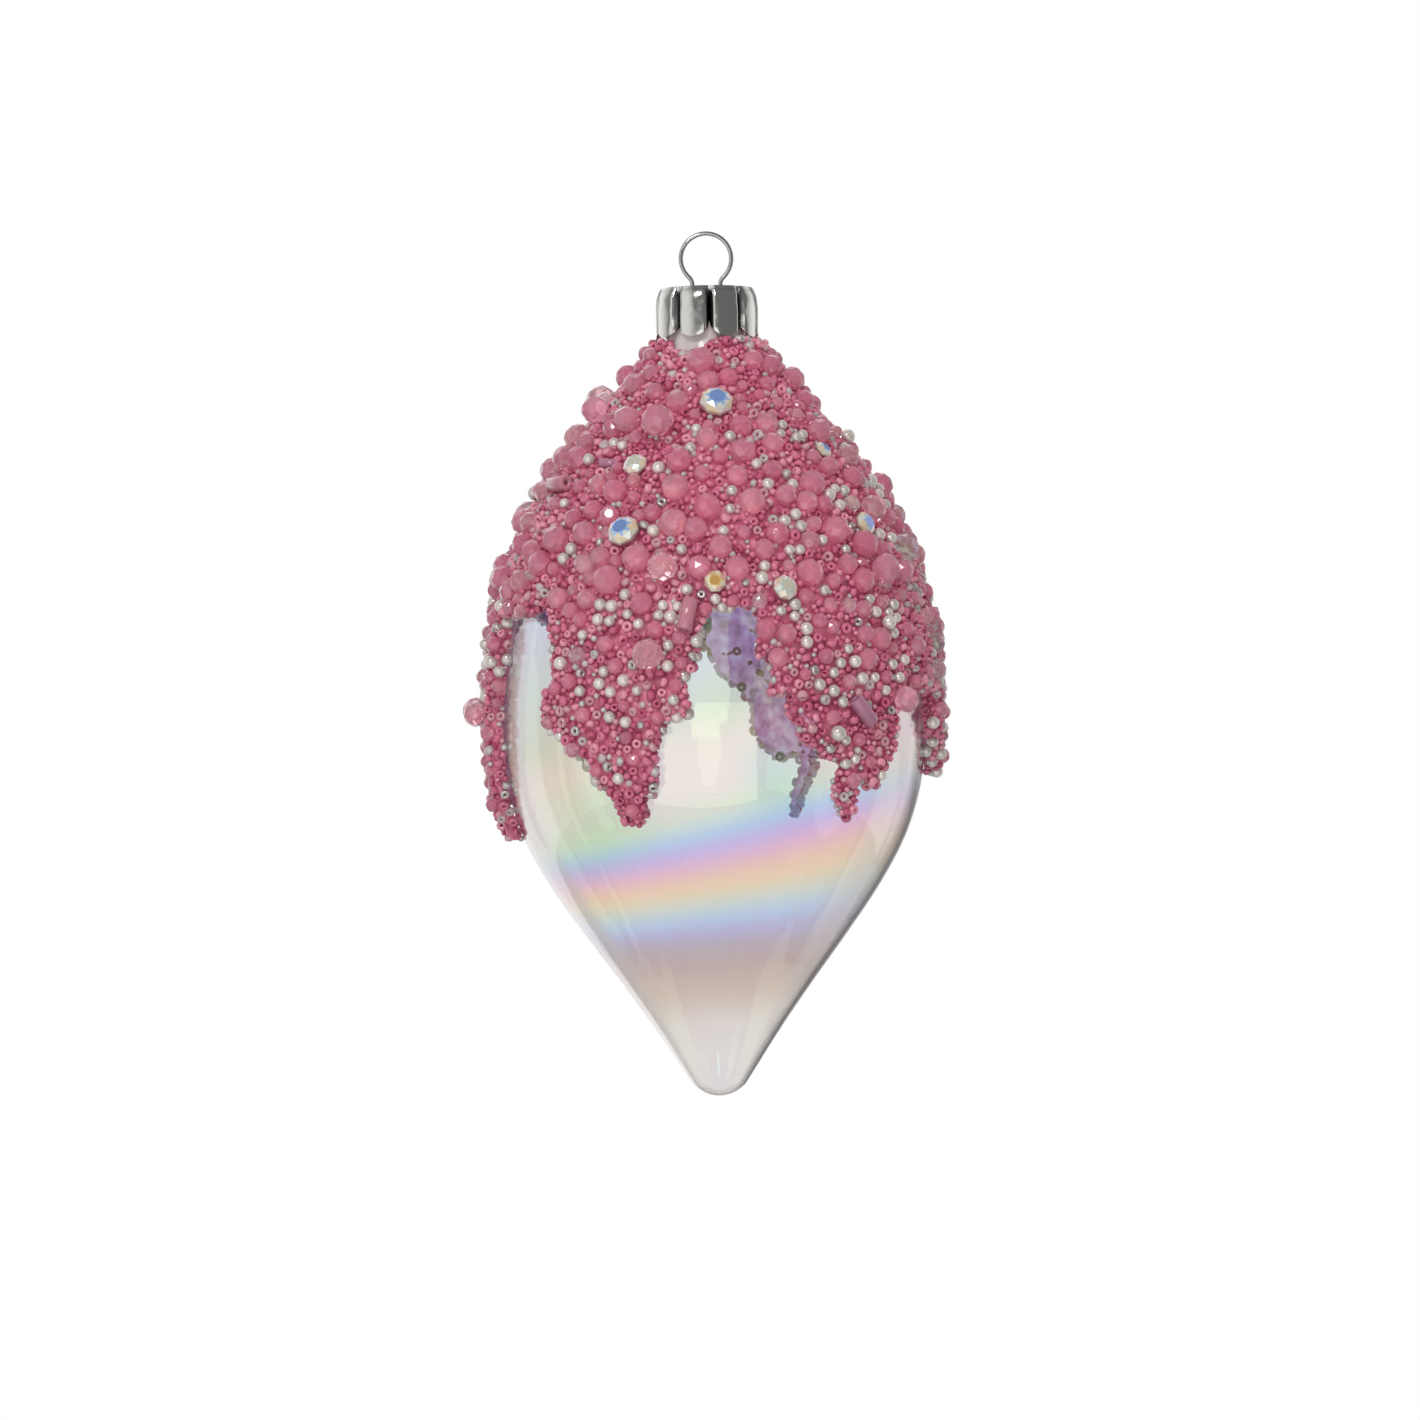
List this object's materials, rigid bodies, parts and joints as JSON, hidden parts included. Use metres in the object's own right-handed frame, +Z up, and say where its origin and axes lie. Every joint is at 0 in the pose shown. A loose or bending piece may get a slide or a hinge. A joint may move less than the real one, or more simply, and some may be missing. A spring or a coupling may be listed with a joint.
{
  "type": "beaded glass drop ornament",
  "caption": "Hanging glass drop ornament with a pink beaded upper crust that runs down in drips, a crown cap and a spring wire loop.",
  "frame": {"origin": "the point that a hook bears on, at the inside top of the hanger loop", "axes": "+Z up the drop's axis, away from its tip; -Y is the front; +X to the right, in the plane of the loop"},
  "size_m": [0.0868, 0.0875, 0.152],
  "materials": {
    "clear_glass": "clear blown glass with a pearly rainbow lustre",
    "silver_cap": "bright stamped metal",
    "spring_wire": "bright drawn wire",
    "pink_crust": "glue full of small glass beads",
    "rose_bead": "clear rose, faceted",
    "pearl": "pearl lustre",
    "crystal_stone": "rainbow-coated cut stone"
  },
  "bodies": {
    "hanger": {"hanger_ring": "spring_wire"},
    "cap_body": {"cap": "silver_cap"},
    "drop": {"glass_body": "clear_glass", "bead_crust": "pink_crust", "crystal_stone_1": "crystal_stone", "crystal_stone_10": "crystal_stone", "crystal_stone_2": "crystal_stone", "crystal_stone_3": "crystal_stone", "crystal_stone_4": "crystal_stone", "crystal_stone_5": "crystal_stone", "crystal_stone_6": "crystal_stone", "crystal_stone_7": "crystal_stone", "crystal_stone_8": "crystal_stone", "crystal_stone_9": "crystal_stone", "faceted_bead_01": "rose_bead", "faceted_bead_02": "rose_bead", "faceted_bead_03": "rose_bead", "faceted_bead_04": "rose_bead", "faceted_bead_05": "rose_bead", "faceted_bead_06": "rose_bead", "faceted_bead_07": "rose_bead", "faceted_bead_08": "rose_bead", "faceted_bead_09": "rose_bead", "faceted_bead_10": "rose_bead", "faceted_bead_11": "rose_bead", "faceted_bead_12": "rose_bead", "faceted_bead_13": "rose_bead", "faceted_bead_14": "rose_bead", "faceted_bead_15": "rose_bead", "faceted_bead_16": "rose_bead", "faceted_bead_17": "rose_bead", "faceted_bead_18": "rose_bead", "pearl_01": "pearl", "pearl_02": "pearl", "pearl_03": "pearl", "pearl_04": "pearl", "pearl_05": "pearl", "pearl_06": "pearl", "pearl_07": "pearl", "pearl_08": "pearl", "pearl_09": "pearl", "pearl_10": "pearl", "pearl_11": "pearl", "pearl_12": "pearl", "pearl_13": "pearl", "pearl_14": "pearl", "pearl_15": "pearl", "pearl_16": "pearl", "tube_bead_1": "rose_bead", "tube_bead_2": "rose_bead", "tube_bead_3": "rose_bead", "tube_bead_4": "rose_bead", "tube_bead_5": "rose_bead", "tube_bead_6": "rose_bead"},
    "leg_left": {"spring_leg_left": "spring_wire"},
    "leg_right": {"spring_leg_right": "spring_wire"}
  },
  "joints": [
    {"name": "hanger_pull", "type": "slide", "parent": "hanger", "child": "cap_body", "axis": [0, 0, -1], "range_m": [0, 0.0015]},
    {"name": "glass_pull", "type": "slide", "parent": "cap_body", "child": "drop", "axis": [0, 0, -1], "range_m": [0, 0.02]},
    {"name": "leg_left_flex", "type": "hinge", "parent": "hanger", "child": "leg_left", "pos_m": [-0.00245, 0, -0.0118], "axis": [0, -1, 0], "range_deg": [0, 16.5]},
    {"name": "leg_right_flex", "type": "hinge", "parent": "hanger", "child": "leg_right", "pos_m": [0.00245, 0, -0.0118], "axis": [0, 1, 0], "range_deg": [0, 16.5]}
  ],
  "couplings": [
    {"joint": "leg_left_flex", "follows": "glass_pull", "rad_per_m": 14.2},
    {"joint": "leg_right_flex", "follows": "glass_pull", "rad_per_m": 14.2}
  ]
}
